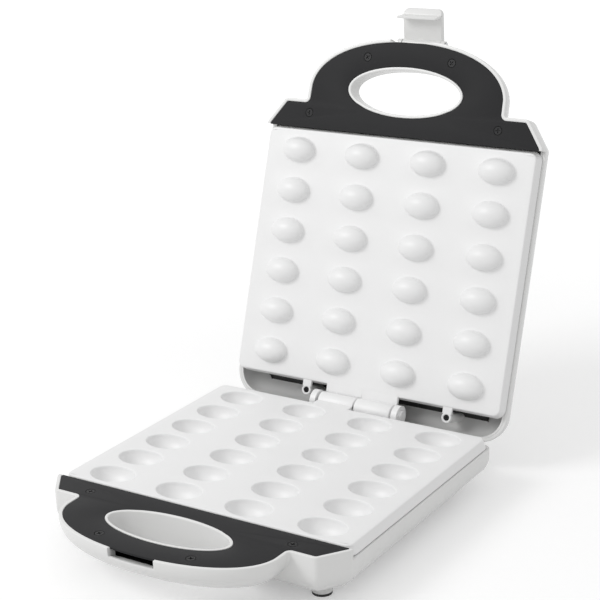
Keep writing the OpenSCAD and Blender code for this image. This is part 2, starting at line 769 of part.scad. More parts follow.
// Latch mount: a plate on the handle with a lug at each side of the latch
module latch_mount() {
    foot = lid_grip_depth + 0.1;
    color("silver") on_lid() difference() {
        union() {
            block(-lug_in - lug_t, lug_in + lug_t, -174.5, -162.5, foot, foot + 2);
            both_sides() translate([lug_in, 0, 0]) hull() {
                rod_x(lug_r, 0, lug_t, latch_axis_y, latch_axis_z, $fn = 32);
                block(0, lug_t, -174.5, -164, foot, foot + 2);
            }
        }
        rod_x(latch_pin_r + 0.02, -30, 30, latch_axis_y, latch_axis_z);
        for (spot = mount_screws) rod_z(1.7, foot - 1, foot + 3, spot.x, spot.y);
    }
}
module latch_mount_screws() {
    color("silver") on_lid() for (spot = mount_screws)
        translate([spot.x, spot.y, lid_grip_depth + 2.1 + eps]) screw(2.8, 1.4, 1.4, 7);
}
module latch_pin() {
    end = lug_in + lug_t;
    color("silver") on_lid() {
        rod_x(latch_pin_r, -end - 0.2, end + 0.2, latch_axis_y, latch_axis_z);
        both_sides() rod_x(2.4, end + 0.1, end + 0.9, latch_axis_y, latch_axis_z);
    }
}

// Latch: a strip that hangs from its barrel in front of both handles. A hook with a flared lip
// turns in over the lower handle's rim, and a narrower finger tab goes on below it.
module latch() {
    inner = -latch_offset;
    outer = inner - latch_t;
    half = latch_w / 2;
    tab_half = half - 4.2;
    hook_z = -latch_len - hook_t;
    tip = inner + hook_reach;
    flare = notch_half - 0.5;
    color("white") on_latch() translate([0, latch_axis_y, latch_axis_z]) difference() {
        union() {
            rod_x(3.3, -half, half, 0, 0);
            intersection() {
                translate([-half, 0, 0]) rotate([90, 0, 90]) linear_extrude(latch_w) polygon([
                    [0, 3.3], [outer + 3, 3.3], [outer, 0.3],
                    [outer, hook_z - tab_reach + 2], [outer + 1.4, hook_z - tab_reach],
                    [inner - 3, hook_z - tab_reach], [inner, hook_z], [inner, -1], [0, -1]]);
                rotate([90, 0, 0]) linear_extrude(12) polygon(concat(
                    [[-half, 5], [half, 5]],
                    [for (w = [0:-15:-90]) [tab_half + 4.2 * cos(w), hook_z + tab_reach * sin(w)]],
                    [for (w = [-90:-15:-180]) [-tab_half + 4.2 * cos(w), hook_z + tab_reach * sin(w)]]));
            }
            translate([0, 0, hook_z]) linear_extrude(hook_t) polygon([
                [-half, inner - 1], [half, inner - 1], [half, tip - 4.4], [flare, tip - 1.6],
                [flare - 0.8, tip], [0.8 - flare, tip], [-flare, tip - 1.6], [-half, tip - 4.4]]);
        }
        rod_x(latch_pin_r + clear, -30, 30, 0, 0);
    }
}

base_casing();
lower_baking_plate();
lower_handle_trim();
lower_trim_screws();
lower_plate_screws();
lower_heating_element();
lower_element_clamps();
lower_reflector();
thermostat();
thermal_fuse();
terminal_block();
lower_wiring();
cord_gland();
hinge_bracket();
hinge_bracket_screws();
hinge_pin();
hinge_pin_clip();
feet();
foot_pads();
lid_casing();
upper_baking_plate();
upper_handle_trim();
upper_trim_screws();
upper_plate_screws();
upper_heating_element();
upper_element_clamps();
upper_reflector();
lamp_board();
power_lens();
ready_lens();
upper_wiring();
latch_mount();
latch_mount_screws();
latch_pin();
latch();
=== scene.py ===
# %% [markdown]
# # A nut-shell baker, dressed for the camera
#
# The object is a hinged electric press. Batter goes into 24 half-nut cavities in the lower
# plate, the domed upper plate comes down on them, and a latch on the handle holds it shut.
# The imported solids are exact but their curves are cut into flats. Here the large parts that are
# seen are made again as fine surfaces, worked out with numpy, in the same place and size. The
# small parts, such as screws, pins and feet, stay as they were packed and only get a finish.

# %% Load the fixed frame
import json
import math

import bpy
import numpy as np
from mathutils import Matrix, Vector


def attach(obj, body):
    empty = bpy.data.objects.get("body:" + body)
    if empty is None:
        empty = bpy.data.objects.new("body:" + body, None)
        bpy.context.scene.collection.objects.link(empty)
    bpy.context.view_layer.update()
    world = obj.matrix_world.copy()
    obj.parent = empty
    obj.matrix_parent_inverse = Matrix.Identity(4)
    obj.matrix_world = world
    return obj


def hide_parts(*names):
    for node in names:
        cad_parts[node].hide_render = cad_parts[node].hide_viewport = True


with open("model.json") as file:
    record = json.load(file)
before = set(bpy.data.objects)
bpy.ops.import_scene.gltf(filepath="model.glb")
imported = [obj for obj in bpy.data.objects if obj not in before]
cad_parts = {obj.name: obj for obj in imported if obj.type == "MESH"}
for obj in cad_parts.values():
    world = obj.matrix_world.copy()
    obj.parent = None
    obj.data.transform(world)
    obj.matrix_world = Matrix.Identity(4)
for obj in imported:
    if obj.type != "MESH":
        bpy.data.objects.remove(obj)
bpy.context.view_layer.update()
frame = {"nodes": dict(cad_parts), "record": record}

# %% [markdown]
# ## Sizes
#
# All lengths are in millimetres, as on a drawing. The baker is drawn shut, in a frame whose zero
# is the middle of the nut grid on the lower plate's face, because both halves then share one
# outline. Two small functions carry points from there to where the part stands.

# %% Sizes of the baker, in mm
PLATE_HALF, PLATE_FRONT, PLATE_BACK = 121.2, -101.0, 103.2
TRIM_HALF, CHAMFER_HALF, SHOULDER_Y = 121.8, 108.3, 123.4  # the trim's side and its cut corner
ARCH_HALF, ARCH_Y, ARCH_REACH, ARCH_POWER = 86.5, 134.5, 43.8, 2.15
DECK_Y, LIP = -103.4, 2.9  # the trim's back edge, and the casing's lip round the trim
FINGER_Y, FINGER_L, FINGER_W = -138.5, 52.0, 20.5  # the finger hole's middle and half axes
HINGE_Y, HINGE_Z, OPEN = 117.0, -3.5, math.radians(108.3)
LATCH_Y, LATCH_Z, LATCH_REST, LATCH_DEEP = -180.7, 19.6, math.radians(69.3), 6.9
STAND_H, PLATE_GAP = 42.0, 0.6  # table to plate face, and between the shut plates' faces
MID_Y = (-ARCH_Y - ARCH_REACH - LIP + HINGE_Y + (LATCH_Y - HINGE_Y) * math.cos(OPEN)
         + (LATCH_Z - HINGE_Z) * math.sin(OPEN) + LATCH_DEEP) / 2
print("middle of the footprint, behind the nut grid's centre:", round(MID_Y, 2), "mm")


# %% From the drawing to the table
def turned(points, y, z, angle):
    """Turns points about the X line through (y, z) by -angle, so that a lid swings back."""
    c, s = math.cos(angle), math.sin(angle)
    dy, dz = points[:, 1] - y, points[:, 2] - z
    return np.stack([points[:, 0], y + dy * c + dz * s, z - dy * s + dz * c], 1)


def placed(points, body):
    """Drawing to row frame, in metres. The lid is drawn with its open side up, so it is first
    turned over by z -> gap - z. The latch is drawn locked and first swings out to rest."""
    p = np.array(points, float)
    if body == "lid":
        p[:, 2] = PLATE_GAP - p[:, 2]
    if body == "latch":
        p = turned(p, LATCH_Y, LATCH_Z, LATCH_REST)
    if body != "base":
        p = turned(p, HINGE_Y, HINGE_Z, OPEN)
    return (p + [0, -MID_Y, STAND_H]) / 1000


# %% [markdown]
# ## From arrays to meshes
#
# A moulded or cast part curves everywhere, and no ready-made block or cylinder has its shape. It
# could be sculpted, or subdivided from a cage, but sizes are hard to hold that way. So every
# surface below is a grid of points: rows run one way over it and columns the other, and
# neighbouring points make a four-sided face. A closed surface's volume tells which way its faces
# look, so one sum turns an inside-out shape the right way round.

# %% Grid helpers
def grid_faces(rows, cols, close_rows=False):
    """Quads of a grid whose points are numbered row by row. Every row is a ring that joins its
    own ends, and close_rows joins the last row to the first."""
    r = np.arange(rows if close_rows else rows - 1)
    r, c = (a.ravel() for a in np.meshgrid(r, np.arange(cols), indexing="ij"))
    r1, c1 = (r + 1) % rows, (c + 1) % cols
    return np.stack([r * cols + c, r * cols + c1, r1 * cols + c1, r1 * cols + c], 1)


def strip_cap(first, count):
    """Closes a ring that is symmetric about its first point: point i joins point -i."""
    i = np.arange(0, count // 2)
    return first + np.stack([i, i + 1, (count - i - 1) % count, (count - i) % count], 1)


def volume(verts, faces):
    """Signed volume: a sixth of the sum of a . (b x c) over the faces' triangles."""
    a, b, c, d = (verts[faces[:, n]] for n in range(4))
    return float((a * np.cross(b, c)).sum() + (a * np.cross(c, d)).sum()) / 6


# %% From parts to a piece
def outward(points, quads):
    """Turns a closed part's faces round if its volume comes out negative."""
    return points, quads[:, ::-1] if volume(points - points.mean(0), quads) < 0 else quads


def stacked(parts):
    """Puts (points, quads) parts one after the other and numbers their points on."""
    starts = np.cumsum([0] + [len(points) for points, _ in parts[:-1]])
    return (np.concatenate([points for points, _ in parts]),
            np.concatenate([quads + start for (_, quads), start in zip(parts, starts)]))


def make_object(name, parts):
    """Links one object made of closed parts; a face names a corner that repeats only once."""
    points, quads = stacked([outward(*part) for part in parts])
    mesh = bpy.data.meshes.new(name)
    mesh.from_pydata(points.tolist(), [], [list(dict.fromkeys(q)) for q in quads.tolist()])
    thing = bpy.data.objects.new(name, mesh)
    bpy.context.scene.collection.objects.link(thing)
    return thing


dressed = []


def make_piece(name, parts, body, node, slot, sharp=32):
    """Joins the drawn parts into one object, rides it on its body and hides its CAD node."""
    piece = make_object(name, [(placed(points, body), quads) for points, quads in parts])
    piece.data.validate()
    piece.data.update()
    piece.data.shade_smooth()
    piece.data.set_sharp_from_angle(angle=math.radians(sharp))
    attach(piece, body)
    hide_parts(node)
    dressed.append((piece, slot))
    print(name, len(piece.data.vertices), "points,", len(piece.data.polygons), "faces")
    return piece


def cut_out(body, cores):
    """Cuts one object out of another with an exact Boolean and returns the mesh that is left."""
    cut = body.modifiers.new("cores", "BOOLEAN")
    cut.object, cut.operation, cut.solver = cores, "DIFFERENCE", "EXACT"
    bpy.context.view_layer.update()
    mesh = bpy.data.meshes.new_from_object(
        body.evaluated_get(bpy.context.evaluated_depsgraph_get()))
    body.modifiers.clear()
    bpy.data.objects.remove(cores)
    return mesh


# %% Turned and block-shaped parts
def lathe(profile, axis_point, axis="z", count=48):
    """A profile of (radius, along) pairs turned about an axis through axis_point; a closed loop."""
    profile = np.array(profile, float)
    w = np.arange(count) * 2 * math.pi / count
    r, h = profile[:, :1], profile[:, 1:]
    u, v, t = r * np.cos(w), r * np.sin(w), np.repeat(h, count, 1)
    xyz = {"z": (u, v, t), "x": (t, u, v), "y": (v, t, u)}[axis]
    points = np.stack(xyz, -1).reshape(-1, 3) + np.array(axis_point, float)
    return points, grid_faces(len(profile), count, close_rows=True)


def core(radius, low, high, axis_point, axis="z", count=32):
    """A round closed core for a bore, from low to high along its axis."""
    return lathe([(0.01, low), (radius, low), (radius, high), (0.01, high)], axis_point, axis,
                 count)


NEARLY_0 = 1e-3  # a cap's last ring shrinks to this share, and not to one point


def box_part(x0, x1, y0, y1, z0, z1, r):
    """A block with edges rounded by r: a ring with round corners, stood up, with a cap at each
    end that steps in."""
    w = np.radians(np.arange(0, 91, 30))
    corners = [((x1, y1), 0), ((x0, y1), 90), ((x0, y0), 180), ((x1, y0), 270)]
    ring = np.concatenate([np.stack([
        cx - np.sign(cx - (x0 + x1) / 2) * r + r * np.cos(w + math.radians(t)),
        cy - np.sign(cy - (y0 + y1) / 2) * r + r * np.sin(w + math.radians(t))], 1)
        for (cx, cy), t in corners])
    centre = np.array([(x0 + x1) / 2, (y0 + y1) / 2])
    inner = 1 - 2 * r / max(x1 - x0, y1 - y0)
    levels = [(NEARLY_0, z0), (inner, z0), (1, z0 + r), (1, z1 - r), (inner, z1), (NEARLY_0, z1)]
    points = np.concatenate([np.column_stack([centre + (ring - centre) * s, np.full(len(ring), z)])
                             for s, z in levels])
    return points, grid_faces(len(levels), len(ring), close_rows=True)


# %% [markdown]
# ## The outline
#
# Both casings and both trims share one plan: a handle arch, a neck, a shoulder with a chamfer and
# a straight side. A Bezier curve with an offset could draw it, but its points would not match from
# one offset to the next. So it is worked out as a ring of points that can be moved outward by any
# k, always with the same points in the same order, and such rings can be stacked into a surface.

# %% Outline of the handle and shoulders
LEAST_R = 0.6  # no inside corner gets sharper than this when its edges move outward


def unit(v):
    """The direction of v, at length 1."""
    return v / np.hypot(*v)


def corner(a, b, c, r, k, steps):
    """Arc that rounds corner b of a-b-c after its edges move outward by k."""
    a, b, c = (np.array(p, float) for p in (a, b, c))
    u, v = unit(b - a), unit(c - b)
    nu, nv = np.array([u[1], -u[0]]), np.array([v[1], -v[0]])
    side = 1 if u[0] * v[1] - u[1] * v[0] > 0 else -1
    turn = math.acos(np.clip(u @ v, -1, 1))
    rr = max(r + side * k, LEAST_R)
    centre = b + (nu + nv) * k / (1 + nu @ nv) - side * rr * (nu + nv) / (1 + nu @ nv)
    w = math.atan2(nu[1], nu[0]) + side * turn * np.linspace(0, 1, steps)
    return centre + side * rr * np.stack([np.cos(w), np.sin(w)], 1)


def arch(k, degrees):
    """Superellipse (x/a)^p + (y/b)^p = 1 from its side to its front, moved out by k."""
    w = np.radians(degrees)
    c, s, e = np.maximum(np.cos(w), 0), np.maximum(np.sin(w), 0), 2 / ARCH_POWER
    n = np.stack([c ** (2 - e) / ARCH_HALF, s ** (2 - e) / ARCH_REACH], 1)
    n /= np.hypot(n[:, 0], n[:, 1])[:, None]
    return np.stack([ARCH_HALF * c ** e + k * n[:, 0],
                     -ARCH_Y - ARCH_REACH * s ** e - k * n[:, 1]], 1)


def both_halves(half):
    """Adds the mirror image of a right half that starts and ends on the middle line."""
    return np.concatenate([half, half[-2:0:-1] * [-1, 1]])


def straight(a, b, count):
    """Evenly spaced points from a to b."""
    t = np.linspace(0, 1, count)[:, None]
    return np.array(a, float) * (1 - t) + np.array(b, float) * t


NECK, INNER = (ARCH_HALF, -ARCH_Y), (ARCH_HALF, -SHOULDER_Y)
CHAMFER, SHOULDER = (CHAMFER_HALF, -SHOULDER_Y), (TRIM_HALF, DECK_Y - 1)
NECK_R, POINT_R = 5, 2  # rounds at the neck's foot, and at both ends of the chamfer
NOTCH_HALF = 18.7  # the arch gets two points close together at each side of the latch's notch
NOTCH_EDGES = np.degrees(np.arccos((np.array([NOTCH_HALF - 0.03, NOTCH_HALF + 0.03]) / ARCH_HALF)
                                   ** (ARCH_POWER / 2)))
STEP_X = 91.5  # beside the neck, where the casing's front edge steps from seat to lip
SWEEP = np.concatenate([np.linspace(90, 79.7, 13), NOTCH_EDGES, np.linspace(78.2, 74, 6),
                        np.linspace(72.5, 5, 46)])


def arch_outline(k):
    """The arch ring: front middle, right side, neck, then back under the shoulders."""
    front = arch(k, SWEEP)
    foot = corner(NECK, INNER, CHAMFER, NECK_R, k, 14)
    back_y = DECK_Y - 6
    side = straight(foot[-1] + [0.02, 0.3], (foot[-1][0] + 0.02, back_y), 6)
    back = straight((foot[-1][0], back_y), (0, back_y), 12)[1:]
    return both_halves(np.concatenate([front, foot, side, back]))


def trim_outline(k, back_y=DECK_Y):
    """The trim ring: arch, neck, shoulder, chamfer, side and the straight back edge."""
    front = arch(k, SWEEP)
    foot = corner(NECK, INNER, CHAMFER, NECK_R, k, 14)
    point = corner(INNER, CHAMFER, SHOULDER, POINT_R, k, 8)
    side = corner(CHAMFER, SHOULDER, (TRIM_HALF, 0), POINT_R, k, 6)
    back = straight((TRIM_HALF + k, back_y), (0, back_y), 24)
    return both_halves(np.concatenate([front, foot, point, side, back]))


def body_outline(k, back_y, back_r):
    """The body ring: front middle, chamfered shoulder, side, round back corner."""
    step = [STEP_X - 0.02, STEP_X + 0.02]
    front = [[x, -SHOULDER_Y - k] for x in list(np.arange(0, 91, 1.5)) + step + [94, 100]]
    point = corner((-CHAMFER_HALF, -SHOULDER_Y), CHAMFER, SHOULDER, POINT_R, k, 8)
    side = corner(CHAMFER, SHOULDER, (TRIM_HALF, 0), POINT_R, k, 6)
    deck_y = max(DECK_Y, side[-1][1] + 0.1)
    deck = [[TRIM_HALF + k, deck_y - 0.02], [TRIM_HALF + k, deck_y + 0.02]]
    flank_end = min(back_y - back_r, back_y + k) - 6
    flank = [[TRIM_HALF + k, y] for y in np.linspace(DECK_Y + 10, flank_end, 10)]
    back = corner(SHOULDER, (TRIM_HALF, back_y), (0, back_y), back_r, k, 24)
    end = straight((back[-1][0] - 4, back_y + k), (0, back_y + k), 16)
    return both_halves(np.concatenate([front, point, side, deck, flank, back, end]))


def outside_finger(xy, grow):
    """Presses points that lie in the finger hole back to the hole's rear edge."""
    a, b = FINGER_L + grow, FINGER_W + grow
    edge = FINGER_Y + b * np.sqrt(np.clip(1 - (xy[:, 0] / a) ** 2, 0, None))
    hit = (np.abs(xy[:, 0]) < a) & (xy[:, 1] < edge)
    return np.column_stack([xy[:, 0], np.where(hit, edge, xy[:, 1])])


print("outline points:", len(arch_outline(0)), len(trim_outline(0)), len(body_outline(0, 105, 5)))

# %% [markdown]
# ## The casings
#
# A real casing is one moulding of glossy white ABS: a tray with rounded-under sides and a handle
# arch with a finger hole. A solidified and bevelled outline would give it an even wall, but not a
# lip, a seat for the trim and a sleeve round the fingers. So each casing is drawn as two closed
# surfaces that run into each other, as two pieces of a moulding do: a tray, whose rings step down
# the outside and back up inside, and an arch, a ring with a ring-shaped section. The edge of the
# lip gets a small round to catch light.

# %% The tray
RIM_DROP, SIDE_WALL, FLOOR = 8.0, 4.2, 2.4
NECK_Y = -120  # the tray's front wall under the trim lies in front of this
LIP_ROUND, LIP_GAP = 0.5, 0.25  # the lip's edge, and the gap between the lip and the trim
SEAT_Z = -2.0  # the trim's seat
SLEEVE_SIDE, SLEEVE_CORE = -0.3, -2.55  # the finger hole's outer side, and inside its wall


def quarter(r, steps=5):
    """Cosine and sine steps over a quarter turn, scaled by r."""
    w = np.linspace(0, math.pi / 2, steps)
    return r * np.cos(w), r * np.sin(w)


def tray(back_y, back_r, depth, straight_h, reach):
    """Rings from the underside up the outer skin, over the rim, and down the inside."""
    home = body_outline(LIP, back_y, back_r)
    at_front = home[:, 1] < DECK_Y
    under_trim = at_front & (np.abs(home[:, 0]) < STEP_X) & (home[:, 1] < NECK_Y)
    top = np.where(under_trim, SEAT_Z - 0.2, np.where(at_front, 0.0, -RIM_DROP))
    levels = []

    def level(k, z, grow=SLEEVE_CORE):
        xy = outside_finger(body_outline(k, back_y, back_r), grow)
        levels.append(np.column_stack([xy, np.broadcast_to(z, len(xy))]))

    drop = depth - straight_h
    for w in np.radians(np.linspace(90, 0, 19)):
        level(LIP - reach * (1 - math.cos(w)), -straight_h - drop * math.sin(w))
    f = LIP_ROUND
    for c, s in zip(*quarter(f)):
        level(LIP - f + c, top - f + s)
    for c, s in zip(*quarter(f)):
        level(LIP_GAP + f - s, top - f + c, SLEEVE_SIDE)
    level(LIP_GAP - 0.05, np.minimum(top - 0.1, SEAT_Z), SLEEVE_SIDE)
    level(LIP - SIDE_WALL, np.minimum(top - 0.1, SEAT_Z), SLEEVE_SIDE)
    for w in np.radians(np.linspace(0, 90, 13)):
        level(LIP - SIDE_WALL - reach * (1 - math.cos(w)),
              -straight_h - (drop - FLOOR) * math.sin(w), SLEEVE_SIDE)
    count = len(home)
    points = np.concatenate(levels)
    faces = np.concatenate([grid_faces(len(levels), count), strip_cap(0, count)[:, ::-1],
                            strip_cap((len(levels) - 1) * count, count)])
    return points, faces


# %% The arch
EDGE_H = 2  # height of the upright edge above the arch's round
SLEEVE_EDGE, SLEEVE_MID, SLEEVE_ROUND = 0.3, -1.8, 0.8  # rounds and middle of the finger sleeve
NOTCH_FRONT = -150  # the latch's notch lies in front of this
SLOT_Z, POCKET_Z, POCKET_K = -6.2, -8.4, -13.0  # the notch, and the pocket's floor and back
SCOOP_BACK = -166.0  # a fingertip's scoop under the notch, as a ceiling z over x
SCOOP_X = [-18.75, -18.7, -17.2, 14.7, 17.2, 20.7, 20.75]
SCOOP_Z = [-40, -18, -16.5, -16.5, -17.3, -22, -40]


def finger_angles(outline):
    """For each outline point, the matching angle on the finger hole: front to front, neck to
    50 degrees and back to back, so that no line between the two rings leaves the plate."""
    half = len(outline) // 2 + 1
    run = np.concatenate([[0], np.cumsum(np.hypot(*np.diff(outline[:half], axis=0).T))])
    neck = run[len(SWEEP) + 7]
    right = np.interp(run, [0, neck, run[-1]], [-90, 50, 90])
    return np.radians(np.concatenate([right, 180 - right[-2:0:-1]]))


def finger_ring(grow, angles):
    """The finger hole's ellipse at these angles, with both half axes longer by grow."""
    return np.stack([(FINGER_L + grow) * np.cos(angles),
                     FINGER_Y + (FINGER_W + grow) * np.sin(angles)], 1)


def grip(depth, reach, slot=False, notch_y=None):
    """The arch: outer skin, lip, trim seat, finger sleeve and underside, closed on itself. With
    a slot, the lip drops at the notch, a pocket lies behind it and a scoop under it."""
    home = arch_outline(LIP)
    angles = finger_angles(home)
    inside = home[:, 1] > -SHOULDER_Y - LIP + 0.2
    in_slot = (np.abs(arch_outline(0)[:, 0]) < NOTCH_HALF) & (home[:, 1] < NOTCH_FRONT)
    top = np.where(inside, -2.3, 0.0)
    top = np.where(in_slot & slot, SLOT_Z, top)
    seat = np.where(in_slot & slot, POCKET_Z, np.minimum(top - 0.1, SEAT_Z))
    drop, f = depth - EDGE_H, LIP_ROUND
    rim_k = LIP - 0.25 - reach * (1 - math.sqrt(1 - ((SLOT_Z + EDGE_H) / drop) ** 2))
    levels = []

    def outer(k, z):
        xy = arch_outline(k)
        if notch_y is not None:
            xy[:, 1] = np.where(in_slot, np.maximum(xy[:, 1], notch_y), xy[:, 1])
        z = np.broadcast_to(z, len(xy))
        if slot:
            xy = np.where(in_slot[:, None], arch_outline(min(k, rim_k)), xy)
            ceiling = np.interp(xy[:, 0], SCOOP_X, SCOOP_Z)
            z = np.where((xy[:, 1] < SCOOP_BACK) & (z < ceiling), ceiling, z)
        levels.append(np.column_stack([xy, z]))

    def sleeve(grow, z):
        levels.append(np.column_stack([finger_ring(grow, angles), np.full(len(angles), z)]))

    for w in np.radians(np.linspace(90, 0, 25)):
        outer(LIP - reach * (1 - math.cos(w)),
              np.minimum(-EDGE_H - drop * math.sin(w), top - f))
    for c, s in zip(*quarter(f)):
        outer(LIP - f + c, top - f + s)
    for c, s in zip(*quarter(f)):
        outer(LIP_GAP + f - s, top - f + c)
    outer(LIP_GAP - 0.05, seat)
    if slot:
        outer(POCKET_K, seat)
        outer(POCKET_K - 0.1, SEAT_Z)
    sleeve(SLEEVE_SIDE, SEAT_Z)
    for c, s in zip(*quarter(SLEEVE_EDGE)):
        sleeve(SLEEVE_SIDE - SLEEVE_EDGE + c, s - SLEEVE_EDGE)
    for c, s in zip(*quarter(SLEEVE_ROUND)):
        sleeve(SLEEVE_MID - s, c - SLEEVE_ROUND)
    for c, s in zip(*quarter(SLEEVE_ROUND)):
        sleeve(SLEEVE_MID - c, -depth + SLEEVE_ROUND - s)
    return np.concatenate(levels), grid_faces(len(levels), len(home), close_rows=True)


# %% Bores
def bored(part, tools):
    """Cuts the tools out of a closed part with one exact Boolean, as a mould's cores would."""
    body = make_object("moulding", [part])
    mesh = cut_out(body, make_object("cores", tools))
    bpy.data.objects.remove(body)
    mesh.calc_loop_triangles()
    points = np.empty(3 * len(mesh.vertices), np.float32)
    mesh.vertices.foreach_get("co", points)
    corners = np.empty(3 * len(mesh.loop_triangles), np.int32)
    mesh.loop_triangles.foreach_get("vertices", corners)
    return points.reshape(-1, 3).astype(float), corners.reshape(-1, 3)[:, [0, 1, 2, 2]]


# %% Bars, lugs and posts
POSTS = [(0, 85), (0, -85), (104, 0), (-104, 0)]
WALL_Y = 107.9  # outside of the back wall
GLAND_X, GLAND_Z, GLAND_R, GLAND_SEAT_R = -72.0, -22.0, 6.2, 8.4


def bar(side, x0, x1):
    """Carries a side profile, a ring in (y, z), from x0 to x1 and draws both ends in a little."""
    xs = [x0 + 0.4, x0 + 0.4, x0, x0, x1, x1, x1 - 0.4, x1 - 0.4]
    inset = [0.01, 0.9, 0.985, 1, 1, 0.985, 0.9, 0.01]
    mid = side.mean(0)
    rows = [np.column_stack([np.full(len(side), a), mid + (side - mid) * s])
            for a, s in zip(xs, inset)]
    return np.concatenate(rows), grid_faces(len(rows), len(side), close_rows=True)


def lug(x):
    """A stop lug on the lower casing's back wall, on which the open lid leans."""
    top_z, half_width = -17.7, 5
    side = np.array([[-6, -8], [-2, 0], [28.4, 0], [29, -0.6], [29, -3.4], [28.4, -4],
                     [-2, -10.3]]) + [WALL_Y, top_z]
    return bar(side, x - half_width, x + half_width)


def post_sleeve(x, y):
    """A hollow post under the plate: a counterbore for the screw head, then a narrow bore."""
    return lathe([(3.4, -30.9), (3.4, -25), (1.8, -25), (1.8, -21.5), (5.6, -21.5), (5.6, -29)],
                 (x, y, 0), count=32)


# %% Lower casing
vents = [box_part(x - 1.5, x + 1.5, y - 20, y + 20, -33, -27, 1.2)
         for x in range(-54, 55, 12) for y in (-40, 40)]
counterbores = [core(3.4, -33, -27, (x, y, 0)) for x, y in POSTS]
gland_bore = core(GLAND_R, 96, 112, (GLAND_X, 0, GLAND_Z), "y", 48)
gland_seat = lathe([(GLAND_R, 95), (GLAND_SEAT_R, 95), (GLAND_SEAT_R, WALL_Y - 0.3),
                    (GLAND_SEAT_R - 0.3, WALL_Y), (GLAND_R, WALL_Y)],
                   (GLAND_X, 0, GLAND_Z), "y")
gland_back = bored(box_part(GLAND_X - GLAND_SEAT_R, GLAND_X + GLAND_SEAT_R, 100, WALL_Y,
                            GLAND_Z, -13, 0.3), [gland_bore])
lower_casing = make_piece("lower_casing", [
    bored(tray(105.0, 5, 31.0, 14, 16), vents + counterbores + [gland_bore]),
    grip(21.0, 19, slot=True), gland_seat, gland_back,
    box_part(-119, 119, DECK_Y - FLOOR, DECK_Y, -27.5, -2.05, 0.2), lug(88), lug(-88)]
    + [post_sleeve(x, y) for x, y in POSTS],
    "base", "base_casing", "casing_white")

# %% Upper casing
TABS_X, TABS_Y = (-52, 77), 111.3
lens_bores = [core(4.1, -32, -26, (x, -95, 0), count=40) for x in (-20, 20)]
make_piece("upper_casing", [
    bored(tray(123.1, 20, 30.4, 9, 18), lens_bores), grip(14.9, 5, notch_y=-178.4),
    box_part(-119, 119, DECK_Y - FLOOR, DECK_Y, -25, -2.05, 0.2)]
    + [lathe([(1.2, -27), (4, -27), (4, -3.3), (3.8, -3.1), (1.2, -3.1)], (x, TABS_Y, 0))
       for x in TABS_X],
    "lid", "lid_casing", "casing_white")

# %% [markdown]
# ## The bulkhead
#
# Behind the upper plate, next to the hinge, a wall closes the gap between plate and casing. It is
# black as painted shade, so that the recess looks dark, and its foot curves into the casing's floor
# and carries the painted shade there. A plain box would end in a hard line at the floor, so the
# foot is a profile that is carried along x.

# %% Bulkhead, black as painted shade
painted_shade_foot = np.array([(104, -28.2), (114, -28.2), (113.2, -27.5), (109.6, -26),
                          (107.2, -23.6), (105.8, -20), (104.6, -15), (104, -15)])
make_piece("bulkhead", [
    box_part(-112, 112, PLATE_BACK, 105.0, -27, -7.9, 0.3), bar(painted_shade_foot, -102, 102)],
    # the rubber_black finish here is painted shade: wall and foot are dark only because the recess
    # lies in shadow
    "lid", "lid_casing", "rubber_black")

# %% [markdown]
# ## The baking plates
#
# The plates are cast aluminium. Each nut is half an ellipsoid, and the casting's edge at its
# mouth, or at the foot of a dome, is a small fillet. Booleans could cut 24 ellipsoids, but the
# fillet and smooth shading round each would suffer. So round every nut the flat face is a grid
# that starts as an ellipse and ends as the nut's rectangle, and neighbours share their edges.

# %% One nut's cell
COL_PITCH, ROW_PITCH = 60.0, 33.7
COLUMNS = COL_PITCH * (np.arange(4) - 1.5)
ROWS = ROW_PITCH * (np.arange(6) - 2.5)
SIDE_X, SIDE_Y = 26, 20  # faces along a cell's long and short side


def rectangle_ring(x0, x1, y0, y1):
    """Points round a rectangle from its right side's foot, anticlockwise."""
    up, across = np.arange(SIDE_Y) / SIDE_Y, np.arange(SIDE_X) / SIDE_X
    return np.concatenate([
        np.column_stack([np.full(SIDE_Y, x1), y0 + (y1 - y0) * up]),
        np.column_stack([x1 + (x0 - x1) * across, np.full(SIDE_X, y1)]),
        np.column_stack([np.full(SIDE_Y, x0), y1 + (y0 - y1) * up]),
        np.column_stack([x0 + (x1 - x0) * across, np.full(SIDE_X, y0)])])


def nut_cell(cx, cy, edges, a, b, depth, fillet, sign, face_z=0.0):
    """Rings from the cell's rectangle, over the fillet, to the nut's pole. sign is -1 for a
    hollow and +1 for a bulge: (x/a)^2 + (y/b)^2 + (z/depth)^2 = 1 below or above face_z."""
    ring = rectangle_ring(*edges)
    w = np.arctan2((ring[:, 1] - cy) / b, (ring[:, 0] - cx) / a)
    levels = [np.column_stack([ring, np.full(len(ring), face_z)])]

    def level(grow, z, shrink=1.0):
        levels.append(np.column_stack([cx + (a + grow) * shrink * np.cos(w),
                                       cy + (b + grow) * shrink * np.sin(w),
                                       np.full(len(w), face_z + sign * z)]))

    for t in np.radians(np.linspace(0, 90, 7)):
        level(fillet * (1 - math.sin(t)), fillet * (1 - math.cos(t)))
    for t in np.radians(np.linspace(0, 90, 17)[1:-1]):
        level(0, fillet + (depth - fillet) * math.sin(t), math.cos(t))
    count = len(ring)
    points = np.concatenate(levels + [[[cx, cy, face_z + sign * depth]]])
    last = (len(levels) - 1) * count
    i = np.arange(count)
    pole = np.full(count, len(points) - 1)
    fan = np.stack([last + i, last + (i + 1) % count, pole, pole], 1)
    return points, np.concatenate([grid_faces(len(levels), count), fan])


# %% A whole plate
CELLS_X, CELLS_Y = 116.5, 98.9  # half the size of the field of cells
PLATE_R, PLATE_T, PLATE_EDGE = 6.0, 3.0, 1.3  # corner, thickness and the face's rounded edge
SKIRT_H, SKIRT_FLARE, SKIRT_T = 7.6, 2.0, 1.9
CROWDING = 0.85  # 0 spaces an edge's points evenly, and near 1 they crowd at its ends


